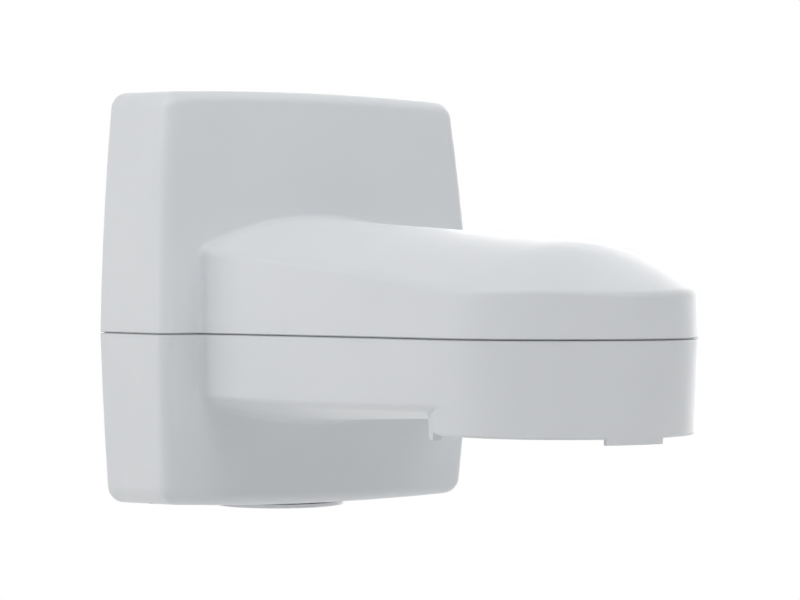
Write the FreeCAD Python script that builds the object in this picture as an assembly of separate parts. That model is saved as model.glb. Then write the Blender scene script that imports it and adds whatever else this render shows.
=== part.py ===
"""Wall bracket for a dome camera: a back box on the wall, a hollow arm and a camera ring at its end.

The wall is the plane Y = 0, the arm points along -Y, +Z is up and X = 0 is the plane of symmetry.
Two cast halves meet at a seam on Z = 0: the lower housing carries the load, and the upper cover closes it.
All sizes are in millimetres.
"""

import FreeCAD, Part
import functools
import math
import os

V = FreeCAD.Vector
os.makedirs("parts", exist_ok=True)

# Back box. Widths and heights are given on the wall and at the plane of the box's deepest point.
box_half_wall = 81.5
box_half_front = 86.0
box_depth = 83.2
box_top_wall = 120.6
box_top_front = 115.5
box_bottom_wall = 86.4
box_bottom_front = 82.0
box_corner_r = 9.0
box_front_r = 6.6
least_corner_r = 2.0
front_spare = 8.0
over_height = 1.5
# How far the sides lean in from the seam to the corners, and how much each side bows outwards.
side_lean_up = 6.6
side_bow_up = 1.1
side_lean_down = 4.5
side_bow_down = 0.4
# Rise of the top and bottom edges in the middle, and how far the front face leans back from the seam.
crown_up = 2.2
crown_down = 2.4
front_lean_up = 10.2
front_lean_down = 6.5

# Arm and camera ring, in plan at the seam.
ring_y = -291.4
ring_r = 56.0
flare_start_y = -262.0
flare_r = 1800.0
draft_up = 0.035
draft_down = 0.045

# Crown of the arm: a straight spine that turns down over the nose in one arc, and its fall at the sides.
spine_wall = 60.1
spine_slope = 0.0656
nose_start_y = -300.0
nose_r = 70.0
crown_fall_wall = 8.2
crown_fall_slope = 0.0455
crease_up_r = 4.5
crown_start_y = -40.0
crown_spare = 20.0
nose_spare = 1.6
nose_shares = (0.0, 0.4, 0.75, 1.0)

# Underside of the arm.
keel_wall = 45.8
keel_slope = 0.0466
keel_rise_wall = 10.9
keel_rise_slope = -0.026
crease_down_r = 4.0
# Creases lie at least this far from the seam, and the arm's root lies within this much of ring_r.
crease_clear = 10.0
root_spare = 14.0
root_r = 3.0
arm_back_y = -55.0
arm_height_up = 75.0
arm_height_down = 60.0

# Walls, seam and tongue.
wall = 3.5
seam_gap = 0.5
tongue_inset = 2.0
tongue_height = 1.3
tongue_ledge = 0.45
tongue_clearance = 0.1
seam_seal_height = 0.8
plate_thickness = 4.0
plate_clearance = 1.0
plate_seal_width = 2.4
seal_play = 0.05

# Camera ring.
skirt_z = -38.7
skirt_edge = 0.9
ring_bore_r = 50.8
tab_count = 3
tab_half_angle = 14.2
tab_drop = 2.3
tab_overlap = 3.0
pot_wall = 3.5
web_top_z = -10.5
web_thickness = 3.5
web_hole_r = 27.0

# Fixing of the cover: two screws under the box and two inside the ring, each with washer and retainer.
cover_screw_r = 2.0
cover_head_r = 3.8
cover_head_h = 3.0
cover_washer_r = 4.4
cover_washer_t = 1.0
cover_thread_len = 13.0
cover_boss_r = 5.5
retainer_r = 3.8
retainer_t = 0.8
retainer_play = 0.4
thread_spare = 1.5
thread_floor = 1.5
socket_share = 0.95
socket_depth_share = 0.6
screw_clearance = 0.05
hole_clearance = 0.2
box_screw_x = 70.0
box_screw_y = -44.0
box_column_r = 7.0
box_column_top_z = -2.0
box_shoulder = 6.0
box_boss_height = 26.0
ring_screw_pcr = 45.2
ring_screw_angle = 52.0

# Wall fixing.
wall_hole_x = 58.0
wall_hole_z = 64.0
wall_hole_r = 3.3
wall_boss_r = 8.0
wall_boss_h = 4.0
gasket_inset = 8.0
gasket_width = 3.0
gasket_depth = 1.5

# Rear cable entry.
entry_z = 24.0
entry_r = 20.0
entry_flange = 3.0
entry_recess = 1.5
membrane_t = 1.2
membrane_r = 8.0
membrane_rise = 1.5
grommet_bore = 16.0
grommet_lip = 1.5

# Conduit entry in the bottom, with its screwed cap.
conduit_y = -34.3
conduit_r = 25.0
conduit_face_z = -83.0
conduit_boss_r = 28.5
conduit_boss_h = 12.0
cap_r = 32.1
cap_flange_t = 1.9
cap_gap = 0.5
cap_edge = 0.5
cap_pocket_clearance = 0.9
cap_thread_h = 9.0
cap_wall = 3.0
cap_floor = 1.5
cap_slot_w = 3.0
cap_slot_depth = 1.0
cap_slot_share = 0.62
cap_seal_inner = 25.6
cap_seal_outer = 30.0

# Camera plate under the web of the ring.
cam_plate_r = 38.0
cam_plate_hole_r = 23.0
cam_plate_t = 2.0
cam_hole_pcr = 32.0
cam_hole_count = 3
cam_hole_r = 2.2
cam_relief_r = 4.2
plate_screw_pcr = 33.8
plate_screw_r = 1.5
plate_screw_len = 8.0
web_boss_r = 4.5
web_boss_h = 5.5
plate_head_r = 2.8
plate_head_h = 1.8
cam_gasket_outer = 28.0
cam_gasket_edge = 0.5
cam_gasket_t = 1.2

# Anchor for the camera's safety line.
eye_pcr = 44.6
eye_angle = 180.0
eye_r = 4.6
eye_wire_r = 1.4
eye_shank_r = 2.0
eye_collar_r = 3.4
eye_nut_across = 7.0
eye_nut_t = 3.2

# Screw that locks the camera in the ring.
lock_z = -25.0
lock_angle = 78.0
lock_r = 2.0
lock_len = 5.0
lock_reach = 0.8
lock_socket_share = 0.5

# Cable clamp and earth screw on the back plate.
clamp_x = -34.0
clamp_z = -14.0
clamp_pitch = 22.0
clamp_bore_r = 4.2
clamp_wall = 1.8
clamp_width = 9.0
clamp_foot_t = 2.4
small_boss_r = 4.0
small_boss_h = 4.0
small_screw_r = 1.5
small_head_r = 2.8
small_head_h = 2.0
small_screw_len = 5.0
earth_x = 36.0
earth_z = -16.0
earth_boss_r = 5.5
earth_screw_r = 2.5
earth_head_r = 4.6
earth_head_h = 3.2
earth_washer_r = 5.0
earth_washer_t = 1.0
earth_screw_len = 6.0

# Ribs and hooks.
rib_t = 2.4
rib_x = 34.0
rib_root = 0.6
rib_top_gap = 1.0
rib_bottom_z = 2.8
arm_rib_depth = 5.0
cover_rib_depth = 4.0
hook_x = 45.0
hook_w = 14.0
hook_t = 3.0
hook_reach = 6.4
hook_lip = 3.6
hook_play = 0.3
hook_z = 99.0

# Helpers: a length past every form, how far a cut runs past a face, and how close counts as touching.
FAR = 400.0
OVER = 1.0
NEAR = 0.01


def slab(x0, x1, y0, y1, z0, z1):
    """A plain block between the given coordinates."""
    return Part.makeBox(x1 - x0, y1 - y0, z1 - z0, V(x0, y0, z0))


def rod(r, start, end):
    """A round bar from one point to another."""
    axis = end.sub(start)
    return Part.makeCylinder(r, axis.Length, start, axis)


def tube(r_out, r_in, start, end):
    """A round tube from one point to another."""
    return rod(r_out, start, end).cut(rod(r_in, start, end))


def on_ring(radius, degrees, z):
    """A point round the camera ring's axis; the angle is counted from the nose towards +X."""
    a = math.radians(degrees)
    return V(radius * math.sin(a), ring_y - radius * math.cos(a), z)


def fuse_all(shapes):
    """One solid made of the given ones, without the seams between their faces."""
    return shapes[0].multiFuse(shapes[1:]).removeSplitter()


def box_size(y, wall_value, front_value):
    """A size of the box at a depth, by straight line from the wall to the front."""
    return wall_value + (front_value - wall_value) * (-y / box_depth)


def flip(p):
    """The same point on the other side of the plane of symmetry."""
    return V(-p.x, p.y, p.z)


def arc_between(centre, a, b):
    """The shorter arc about a centre from one point to another."""
    middle = (a - centre) + (b - centre)
    middle.normalize()
    return Part.Arc(a, centre + middle * a.distanceToPoint(centre), b).toShape()


def corner_centre(circle_a, circle_b, radius):
    """Centre of the small circle that touches two large ones from inside, near their crossing at +X."""
    reach_a = circle_a.Radius - radius
    reach_b = circle_b.Radius - radius
    line = circle_b.Center - circle_a.Center
    gap = line.Length
    line.normalize()
    along_line = (reach_a ** 2 - reach_b ** 2 + gap ** 2) / (2.0 * gap)
    across = math.sqrt(reach_a ** 2 - along_line ** 2)
    side = V(line.z, 0, -line.x)
    if side.x < 0:
        side = side * -1.0
    return circle_a.Center + line * along_line + side * across


def touching_point(circle, centre, radius):
    """Where a small circle inside a large one touches it."""
    return circle.Center + (centre - circle.Center) * (circle.Radius / (circle.Radius - radius))


def box_arcs(y, up, inset):
    """The arcs of the box's half outline in the plane at y: the crowned edge and the bowed side at +X."""
    half = box_size(y, box_half_wall, box_half_front) - inset
    if up:
        height = box_size(y, box_top_wall, box_top_front) - inset
        lean, bow, crown, s = side_lean_up, side_bow_up, crown_up, 1.0
    else:
        height = box_size(y, box_bottom_wall, box_bottom_front) - inset
        lean, bow, crown, s = side_lean_down, side_bow_down, crown_down, -1.0
    low = V(half, y, 0)
    high = V(half - lean, y, s * (height - crown))
    bulge = V(half - lean / 2.0 + bow, y, s * (height - crown) / 2.0)
    edge = Part.Arc(flip(high), V(0, y, s * height), high).toShape()
    side = Part.Arc(low, bulge, high).toShape()
    return edge.Curve, side.Curve, low, high


def sharp_outline(y, up, inset):
    """The box's half outline with sharp corners, for the outer form, whose corners are rounded as edges."""
    edge, side, low, high = box_arcs(y, up, inset)
    return Part.Wire([
        arc_between(flip(side.Center), flip(low), flip(high)),
        arc_between(edge.Center, flip(high), high),
        arc_between(side.Center, high, low),
        Part.LineSegment(low, flip(low)).toShape(),
    ])


def round_outline(y, up, inset):
    """The box's half outline with its corners drawn as arcs, for the plainer forms inside."""
    edge, side, low, high = box_arcs(y, up, inset)
    radius = max(box_corner_r - inset, least_corner_r)
    centre = corner_centre(edge, side, radius)
    on_edge = touching_point(edge, centre, radius)
    on_side = touching_point(side, centre, radius)
    return Part.Wire([
        arc_between(flip(side.Center), flip(low), flip(on_side)),
        arc_between(flip(centre), flip(on_side), flip(on_edge)),
        arc_between(edge.Center, flip(on_edge), on_edge),
        arc_between(centre, on_edge, on_side),
        arc_between(side.Center, on_side, low),
        Part.LineSegment(low, flip(low)).toShape(),
    ])


def front_limit(up, inset):
    """The space behind the leaning front face, above or below the seam."""
    lean = front_lean_up if up else -front_lean_down
    height = box_top_front if up else -box_bottom_front
    reach = over_height * height
    depth = box_depth - inset
    corners = [
        V(-FAR, FAR, 0),
        V(-FAR, -depth, 0),
        V(-FAR, -depth + abs(lean) * over_height, reach),
        V(-FAR, FAR, reach),
    ]
    face = Part.Face(Part.makePolygon(corners + [corners[0]]))
    return face.extrude(V(2 * FAR, 0, 0))


@functools.lru_cache(maxsize=None)
def box_half(up, inset, back_y=0.0):
    """Half of the back box moved in by the inset, from back_y to its plain front face."""
    ends = [round_outline(y, up, inset) for y in (back_y, -box_depth - front_spare)]
    return Part.makeLoft(ends, True, True).common(front_limit(up, inset))


def outer_box_half(up):
    """Half of the back box's outer form, with its long corners and its front edges rounded."""
    ends = [sharp_outline(y, up, 0.0) for y in (0.0, -box_depth - front_spare)]
    body = Part.makeLoft(ends, True, True)
    long_edges = []
    for edge in body.Edges:
        a, b = edge.Vertexes[0], edge.Vertexes[-1]
        if abs(a.Y - b.Y) > NEAR and abs(a.Z) > NEAR:
            long_edges.append(edge)
    body = body.makeFillet(box_corner_r, long_edges).common(front_limit(up, 0.0))
    front_edges = []
    for edge in body.Edges:
        on_face = all(abs(v.Y - front_y_at(v.Z)) < NEAR for v in edge.Vertexes)
        on_seam = abs(edge.BoundBox.ZMax) < NEAR and abs(edge.BoundBox.ZMin) < NEAR
        if on_face and not on_seam:
            front_edges.append(edge)
    return body.makeFillet(box_front_r, front_edges)


def front_y_at(z):
    """Depth of the leaning front face at a height."""
    if z >= 0:
        return front_lean_up / box_top_front * z - box_depth
    return front_lean_down / box_bottom_front * -z - box_depth


def plan_wire(off, z, back_y):
    """The arm and ring in plan, moved in by off: a ring, straight flanks and a flare to the wall box."""
    r = ring_r - off
    big = flare_r + off
    rise = back_y - flare_start_y
    angle = math.asin(rise / big)
    centre = V(-(ring_r + flare_r), flare_start_y, z)

    def on_flare(t):
        return V(centre.x + big * math.cos(t), centre.y + big * math.sin(t), z)

    root, middle, start = on_flare(angle), on_flare(angle / 2.0), on_flare(0.0)
    tangent = V(-r, ring_y, z)
    edges = [
        Part.Arc(root, middle, start).toShape(),
        Part.LineSegment(start, tangent).toShape(),
        Part.Arc(tangent, V(0, ring_y - r, z), flip(tangent)).toShape(),
        Part.LineSegment(flip(tangent), flip(start)).toShape(),
        Part.Arc(flip(start), flip(middle), flip(root)).toShape(),
        Part.LineSegment(flip(root), root).toShape(),
    ]
    return Part.Wire(edges)


def spine_turn(y):
    """Slope angle of the arm's spine: even along the arm, then growing over the nose."""
    start = math.atan(spine_slope)
    if y >= nose_start_y:
        return start
    return math.asin(math.sin(start) + (nose_start_y - y) / nose_r)


def spine_height(y):
    """Height of the arm's spine: a straight fall, then one tangent arc over the nose."""
    if y >= nose_start_y:
        return spine_wall + spine_slope * y
    start = spine_wall + spine_slope * nose_start_y
    return start - nose_r * (math.cos(math.atan(spine_slope)) - math.cos(spine_turn(y)))


def crowned_face(columns, repeats, knots, degree):
    """A surface along the arm whose sections across are parabolas.

    Each column is a pole's depth, its height at X = 0 and how far the section falls there at ring_r.
    """
    half_span = ring_r + crown_spare
    rows = [[], [], []]
    for y, z, fall in columns:
        drop = fall * (half_span / ring_r) ** 2
        rows[0].append(V(-half_span, y, z - drop))
        rows[1].append(V(0, y, z + drop))
        rows[2].append(V(half_span, y, z - drop))
    surface = Part.BSplineSurface()
    surface.buildFromPolesMultsKnots(rows, [3, 3], repeats, [0.0, 1.0], knots, False, False, 2, degree)
    return surface.toShape()


def crown_fall(y):
    """How far the crown falls from its spine to ring_r."""
    return crown_fall_wall - crown_fall_slope * y


def nose_columns(inset):
    """Poles of the crown over the nose: cubic pieces with the spine's own heights and slopes."""
    length = ring_r + nose_spare + nose_start_y - ring_y
    stations = [nose_start_y - length * share for share in nose_shares]
    columns = []
    for i, y in enumerate(stations):
        slope = math.tan(spine_turn(y))
        for other in stations[max(i - 1, 0):i + 2]:
            inner = 0 < i < len(stations) - 1
            if inner and other == y:
                continue
            reach = (other - y) / 3.0
            columns.append((y + reach, spine_height(y) - inset + slope * reach, crown_fall(y + reach)))
    return stations, columns


def crown_space(inset):
    """Everything under the arm's crown, moved in by the inset."""
    ends = [(y, spine_height(y) - inset, crown_fall(y)) for y in (crown_start_y, nose_start_y)]
    straight = crowned_face(ends, [2, 2], [0.0, 1.0], 1)
    stations, columns = nose_columns(inset)
    repeats = [4] + [2] * (len(stations) - 2) + [4]
    nose = crowned_face(columns, repeats, [stations[0] - y for y in stations], 3)
    drop = V(0, 0, -FAR)
    return straight.extrude(drop).fuse(nose.extrude(drop)).removeSplitter()


def keel_space(inset):
    """Everything above the arm's underside, moved in by the inset."""
    ends = []
    for y in (crown_start_y, ring_y - ring_r - nose_spare):
        ends.append((y, inset - keel_wall - keel_slope * y, keel_rise_slope * y - keel_rise_wall))
    return crowned_face(ends, [2, 2], [0.0, 1.0], 1).extrude(V(0, 0, FAR))


def crease_edges(body, up):
    """The edges where the arm's flank meets its crown or its underside."""
    found = []
    for edge in body.Edges:
        box = edge.BoundBox
        runs_along = box.YLength > NEAR
        away = box.ZMin > crease_clear if up else box.ZMax < -crease_clear
        if runs_along and away:
            found.append(edge)
    return found


@functools.lru_cache(maxsize=None)
def arm_half(up, inset=0.0, rounded=False):
    """Half of the arm and ring as a solid, from inside the wall box to the nose."""
    height = arm_height_up if up else arm_height_down
    draft = draft_up if up else draft_down
    low = plan_wire(inset, 0.0, arm_back_y)
    high = plan_wire(inset + draft * height, height if up else -height, arm_back_y)
    body = Part.makeLoft([low, high], True, True)
    body = body.common(crown_space(inset) if up else keel_space(inset))
    if rounded:
        body = body.makeFillet(crease_up_r if up else crease_down_r, crease_edges(body, up))
    return body


def root_edges(body):
    """The edges where the arm leaves the box's front face."""
    found = []
    for edge in body.Edges:
        level = edge.BoundBox.ZLength < NEAR
        points = [v.Point for v in edge.Vertexes]
        points.append(edge.valueAt((edge.FirstParameter + edge.LastParameter) / 2.0))
        on_face = all(abs(p.y - front_y_at(p.z)) < NEAR for p in points)
        near_arm = all(abs(p.x) < ring_r + root_spare for p in points)
        in_height = all(-arm_height_down < p.z < arm_height_up for p in points)
        if on_face and near_arm and in_height and not level:
            found.append(edge)
    return found


def outer_half(up):
    """Half of the bracket's outer form: box and arm joined, with a small fillet at the arm's root."""
    body = outer_box_half(up).fuse(arm_half(up, 0.0, True)).removeSplitter()
    return body.makeFillet(root_r, root_edges(body))


@functools.lru_cache(maxsize=None)
def inner_half(up, inset, back_y=0.0):
    """The same form moved in by the inset and without fillets, for the hollows and their ribs."""
    return box_half(up, inset, back_y).fuse(arm_half(up, inset)).removeSplitter()


def slice_y(shape, y0, y1):
    """The part of a shape between two depths."""
    return shape.common(slab(-FAR, FAR, y0, y1, -FAR, FAR))


def slice_z(shape, z0, z1):
    """The part of a shape between two heights."""
    return shape.common(slab(-FAR, FAR, -FAR, FAR, z0, z1))


def box_plan(inset):
    """The back box's outline on the seam as a flat face, moved in by the inset."""
    front = inset - box_depth
    corner = V(box_size(front, box_half_wall, box_half_front) - inset, front, 0)
    back = V(box_half_wall - inset, 0, 0)
    side = back - corner
    side.normalize()
    radius = box_front_r - inset
    cut_back = radius / math.tan(side.getAngle(V(-1, 0, 0)) / 2.0)
    on_side = corner + side * cut_back
    on_front = corner - V(cut_back, 0, 0)
    centre = on_front + V(0, radius, 0)
    return Part.Face(Part.Wire([
        Part.LineSegment(back, on_side).toShape(),
        arc_between(centre, on_side, on_front),
        Part.LineSegment(on_front, flip(on_front)).toShape(),
        arc_between(flip(centre), flip(on_front), flip(on_side)),
        Part.LineSegment(flip(on_side), flip(back)).toShape(),
        Part.LineSegment(flip(back), back).toShape(),
    ]))


def seam_prism(inset, z0, z1):
    """The whole outline of the seam, moved in by the inset, as an upright block between two heights."""
    height = V(0, 0, z1 - z0)
    box = box_plan(inset).extrude(height)
    arm = Part.Face(plan_wire(inset, 0.0, arm_back_y)).extrude(height)
    prism = fuse_all([box, arm])
    prism.translate(V(0, 0, z0))
    return prism


def seam_band(z0, z1):
    """The upright band of the tongue and its cord, between two heights."""
    return seam_prism(tongue_inset, z0, z1).cut(seam_prism(wall - tongue_ledge, z0 - OVER, z1 + OVER))


def wall_band(outer_inset, inner_inset, y0, y1):
    """A closed band on the back plate that follows the box's outline, between two insets and two depths."""
    outer = box_half(True, outer_inset).fuse(box_half(False, outer_inset))
    inner = box_half(True, inner_inset).fuse(box_half(False, inner_inset))
    return slice_y(outer.cut(inner).removeSplitter(), y0, y1)


def hex_bar(across, start, end):
    """A hexagonal bar from one point to another."""
    axis = end.sub(start)
    side = V(1, 0, 0) if abs(axis.x) < 0.5 * axis.Length else V(0, 0, 1)
    radius = across / math.sqrt(3.0)
    corners = []
    for i in range(7):
        turn = FreeCAD.Rotation(axis, 60.0 * i)
        corners.append(start + turn.multVec(side * radius))
    return Part.Face(Part.makePolygon(corners)).extrude(axis)


def socket_screw(head_r, head_h, shank_r, length, seat, axis):
    """A screw whose head rests at seat with its shank along axis, with a hexagonal socket in its head."""
    top = seat - axis * head_h
    body = rod(head_r, top, seat).fuse(rod(shank_r, seat, seat + axis * length)).removeSplitter()
    socket = hex_bar(head_r * socket_share, top, top + axis * head_h * socket_depth_share)
    return body.cut(socket)


def skirt():
    """The lower part of the camera ring as a full cone, with its lower edge broken."""
    height = -skirt_z
    cone = Part.makeCone(ring_r, ring_r - draft_down * height, height, V(0, ring_y, 0), V(0, 0, -1))
    rims = [e for e in cone.Edges if e.BoundBox.ZMax < skirt_z + NEAR]
    return cone.makeChamfer(skirt_edge, rims)


def ring_tabs():
    """The tabs under the ring that turn the camera's collar home, one of them at the nose."""
    low = skirt_z - tab_drop
    high = skirt_z + tab_overlap
    r_high = ring_r + draft_down * high
    r_low = ring_r + draft_down * low
    band = Part.makeCone(r_high, r_low, high - low, V(0, ring_y, high), V(0, 0, -1))
    reach = 2.0 * ring_r
    tabs = []
    for i in range(tab_count):
        turn = 360.0 / tab_count * i
        a = on_ring(reach, turn - tab_half_angle, low)
        b = on_ring(reach, turn + tab_half_angle, low)
        wedge = Part.Face(Part.makePolygon([V(0, ring_y, low), a, b, V(0, ring_y, low)]))
        tabs.append(band.common(wedge.extrude(V(0, 0, high - low))))
    return tabs


def ring_axis(radius, z0, z1):
    """A round bar on the ring's axis."""
    return rod(radius, V(0, ring_y, z0), V(0, ring_y, z1))


def box_screw_points(z):
    """The two cover screws under the box."""
    return [V(side * box_screw_x, box_screw_y, z) for side in (-1, 1)]


def ring_screw_points(z):
    """The two cover screws inside the ring."""
    return [on_ring(ring_screw_pcr, side * ring_screw_angle, z) for side in (-1, 1)]


def camera_hole_points(z):
    """The camera's screw holes, between the screws of the plate."""
    turn = 360.0 / cam_hole_count
    return [on_ring(cam_hole_pcr, turn * i, z) for i in range(cam_hole_count)]


def plate_screw_points(z):
    """The screws of the camera plate, half a turn of the pattern from the camera's own holes."""
    turn = 360.0 / cam_hole_count
    return [on_ring(plate_screw_pcr, turn * (i + 0.5), z) for i in range(cam_hole_count)]


def wall_hole_points(y):
    """The four holes for the wall's bolts."""
    return [V(sx * wall_hole_x, y, sz * wall_hole_z) for sx in (-1, 1) for sz in (-1, 1)]


def clamp_screw_points(y):
    """The two screws of the cable clamp."""
    return [V(clamp_x + side * clamp_pitch / 2.0, y, clamp_z) for side in (-1, 1)]


def along(up, depth, y_front, y_back):
    """Two ribs along the inside of a half, as deep as given, rooted in the wall."""
    ribs = inner_half(up, wall - rib_root).cut(inner_half(up, wall + depth))
    strips = []
    for side in (-1, 1):
        x = side * rib_x
        strips.append(ribs.common(slab(x - rib_t / 2.0, x + rib_t / 2.0, y_front, y_back, -FAR, FAR)))
    return strips


def back_plate_top():
    """The back plate above the seam, which the cover closes round."""
    inset = wall + plate_clearance
    top = slice_y(box_half(True, inset), -plate_thickness, 0)
    half = box_size(0, box_half_wall, box_half_front) - inset
    foot = slab(-half, half, -plate_thickness, 0, -plate_thickness, 0)
    return [top, foot]


def plate_hooks():
    """Two upturned hooks on the back plate that the cover hangs on."""
    hooks = []
    front = -plate_thickness - hook_reach
    for side in (-1, 1):
        x0 = side * hook_x - hook_w / 2.0
        arm = slab(x0, x0 + hook_w, front, -plate_thickness, hook_z, hook_z + hook_t)
        lip = slab(x0, x0 + hook_w, front, front + hook_t, hook_z, hook_z + hook_t + hook_lip)
        hooks += [arm, lip]
    return hooks


def cover_lugs():
    """Two lugs inside the cover's top wall that drop behind the plate's hooks."""
    lugs = []
    front = -plate_thickness - hook_reach + hook_t + hook_play
    back = -plate_thickness - hook_play
    room = box_half(True, wall - rib_root)
    for side in (-1, 1):
        x0 = side * hook_x - hook_w / 2.0
        lug = slab(x0, x0 + hook_w, front, back, hook_z + hook_t + hook_play, box_top_wall)
        lugs.append(lug.common(room))
    return lugs


def housing_bosses():
    """Everything that stands inside the housing: columns, bosses, hooks and ribs."""
    solids = []
    for p in box_screw_points(box_column_top_z):
        solids.append(rod(box_column_r, V(p.x, p.y, -FAR), p).common(box_half(False, wall - rib_root)))
    for p in plate_screw_points(web_top_z):
        solids.append(rod(web_boss_r, p - V(0, 0, web_thickness / 2.0), p + V(0, 0, web_boss_h)))
    for p in wall_hole_points(-plate_thickness / 2.0):
        solids.append(rod(wall_boss_r, p, V(p.x, -plate_thickness - wall_boss_h, p.z)))
    for p in clamp_screw_points(-plate_thickness / 2.0):
        solids.append(rod(small_boss_r, p, V(p.x, -plate_thickness - small_boss_h, p.z)))
    earth = V(earth_x, -plate_thickness / 2.0, earth_z)
    solids.append(rod(earth_boss_r, earth, V(earth_x, -plate_thickness - small_boss_h, earth_z)))
    conduit = V(0, conduit_y, conduit_face_z)
    solids.append(rod(conduit_boss_r, conduit, conduit + V(0, 0, conduit_boss_h)))
    ribs = along(False, arm_rib_depth, ring_y, -plate_thickness / 2.0)
    pot = ring_axis(ring_bore_r + pot_wall / 2.0, -FAR, FAR)
    solids += [slice_z(r.cut(pot), -FAR, -rib_top_gap) for r in ribs]
    return solids + back_plate_top() + plate_hooks()


def web_holes():
    """The bore of the ring and everything that goes through its web."""
    over = V(0, 0, OVER)
    through = V(0, 0, web_thickness)
    under = web_top_z - web_thickness
    cuts = [ring_axis(ring_bore_r, -FAR, under), ring_axis(web_hole_r, under - OVER, web_top_z + OVER)]
    for p in camera_hole_points(web_top_z):
        cuts.append(rod(cam_relief_r, p - through - over, p + over))
    for p in plate_screw_points(web_top_z + web_boss_h - thread_floor):
        cuts.append(rod(plate_screw_r + screw_clearance, V(p.x, p.y, under) - over, p))
    for p in ring_screw_points(web_top_z):
        cuts.append(rod(cover_screw_r + hole_clearance, p - through - over, p + over))
    eye = on_ring(eye_pcr, eye_angle, web_top_z)
    cuts.append(rod(eye_shank_r + screw_clearance, eye - through - over, eye + over))
    inner_end = on_ring(ring_bore_r - OVER, lock_angle, lock_z)
    outer_end = on_ring(ring_r + OVER, lock_angle, lock_z)
    cuts.append(rod(lock_r + screw_clearance, inner_end, outer_end))
    return cuts


def plate_holes():
    """Everything that is cut in the back plate: wall holes, threads, the cable entry and a groove."""
    over = V(0, OVER, 0)
    cuts = [wall_band(gasket_inset, gasket_inset + gasket_width, -gasket_depth, OVER)]
    for p in wall_hole_points(-plate_thickness - wall_boss_h):
        cuts.append(rod(wall_hole_r, p - over, V(p.x, OVER, p.z)))
    for p in clamp_screw_points(-plate_thickness - small_boss_h):
        depth = V(0, small_screw_len - clamp_foot_t + thread_spare, 0)
        cuts.append(rod(small_screw_r + screw_clearance, p - over, p + depth))
    earth = V(earth_x, -plate_thickness - small_boss_h, earth_z)
    depth = V(0, earth_screw_len - earth_washer_t + thread_spare, 0)
    cuts.append(rod(earth_screw_r + screw_clearance, earth - over, earth + depth))
    cuts.append(rod(entry_r, V(0, -plate_thickness - OVER, entry_z), V(0, OVER, entry_z)))
    cuts.append(rod(entry_r + entry_flange, V(0, -entry_recess, entry_z), V(0, OVER, entry_z)))
    return cuts


def floor_holes():
    """Everything that is cut from below: the sockets of two cover screws, and the cap's pocket and bore."""
    cuts = []
    for p in box_screw_points(box_column_top_z):
        shoulder = p - V(0, 0, box_shoulder)
        cuts.append(rod(cover_screw_r + hole_clearance, shoulder, p + V(0, 0, OVER)))
        cuts.append(rod(cover_washer_r + hole_clearance, V(p.x, p.y, -FAR), shoulder))
    face = V(0, conduit_y, conduit_face_z)
    cuts.append(rod(cap_r + cap_pocket_clearance, V(0, conduit_y, -FAR), face))
    cuts.append(rod(conduit_r, face - V(0, 0, OVER), face + V(0, 0, conduit_boss_h + OVER)))
    return cuts


def lower_housing():
    """The casting that carries everything: back plate, lower box, arm channel, camera ring and web."""
    outer = outer_half(False).cut(slab(-FAR, FAR, -FAR, ring_y, -FAR, FAR))
    outer = outer.fuse(skirt())
    pot = ring_axis(ring_bore_r + pot_wall, -FAR, web_top_z)
    hollow = inner_half(False, wall, -plate_thickness).cut(pot)
    body = outer.cut(hollow)
    body = body.cut(slab(-FAR, FAR, -FAR, FAR, -seam_gap / 2.0, FAR))
    body = body.multiFuse([seam_band(-seam_gap, tongue_height)] + ring_tabs() + housing_bosses())
    holes = web_holes() + plate_holes() + floor_holes()
    return body.cut(Part.makeCompound(holes)).removeSplitter()


def cover_bosses():
    """Everything inside the cover: screw pillars, their ribs, long ribs and the hanging lugs."""
    solids = []
    room = inner_half(True, wall - rib_root)
    for p in box_screw_points(box_column_top_z):
        top = p + V(0, 0, box_boss_height)
        solids.append(rod(cover_boss_r, p, top))
        x0, x1 = sorted([p.x, math.copysign(box_half_front, p.x)])
        web = slab(x0, x1, p.y - rib_t / 2.0, p.y + rib_t / 2.0, rib_bottom_z, top.z)
        solids.append(web.common(room))
    for p in ring_screw_points(web_top_z):
        solids.append(rod(cover_boss_r, p, V(p.x, p.y, rib_bottom_z)))
        solids.append(rod(cover_boss_r, V(p.x, p.y, rib_bottom_z), V(p.x, p.y, FAR)).common(room))
    front = ring_y - ring_r
    back = -plate_thickness - hook_reach
    solids += [slice_z(r, rib_bottom_z, FAR) for r in along(True, cover_rib_depth, front, back)]
    return solids + cover_lugs()


def cover_holes():
    """Threaded holes of the cover's pillars, with a mouth for the ring that keeps each screw."""
    cuts = []
    depth = cover_thread_len + thread_spare
    for p in box_screw_points(box_column_top_z) + ring_screw_points(web_top_z):
        mouth = p - V(0, 0, OVER)
        cuts.append(rod(cover_screw_r + screw_clearance, mouth, p + V(0, 0, depth)))
        cuts.append(rod(retainer_r + hole_clearance, mouth, p + V(0, 0, retainer_t + retainer_play)))
    return cuts


def upper_cover():
    """The cover: a thin shell open below and behind, rebated at the seam for the housing's tongue."""
    body = outer_half(True).cut(inner_half(True, wall))
    body = body.cut(slab(-FAR, FAR, -FAR, FAR, -FAR, seam_gap / 2.0))
    body = body.cut(seam_prism(tongue_inset - tongue_clearance, 0, tongue_height + seam_seal_height))
    body = body.multiFuse(cover_bosses())
    return body.cut(Part.makeCompound(cover_holes())).removeSplitter()


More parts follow.
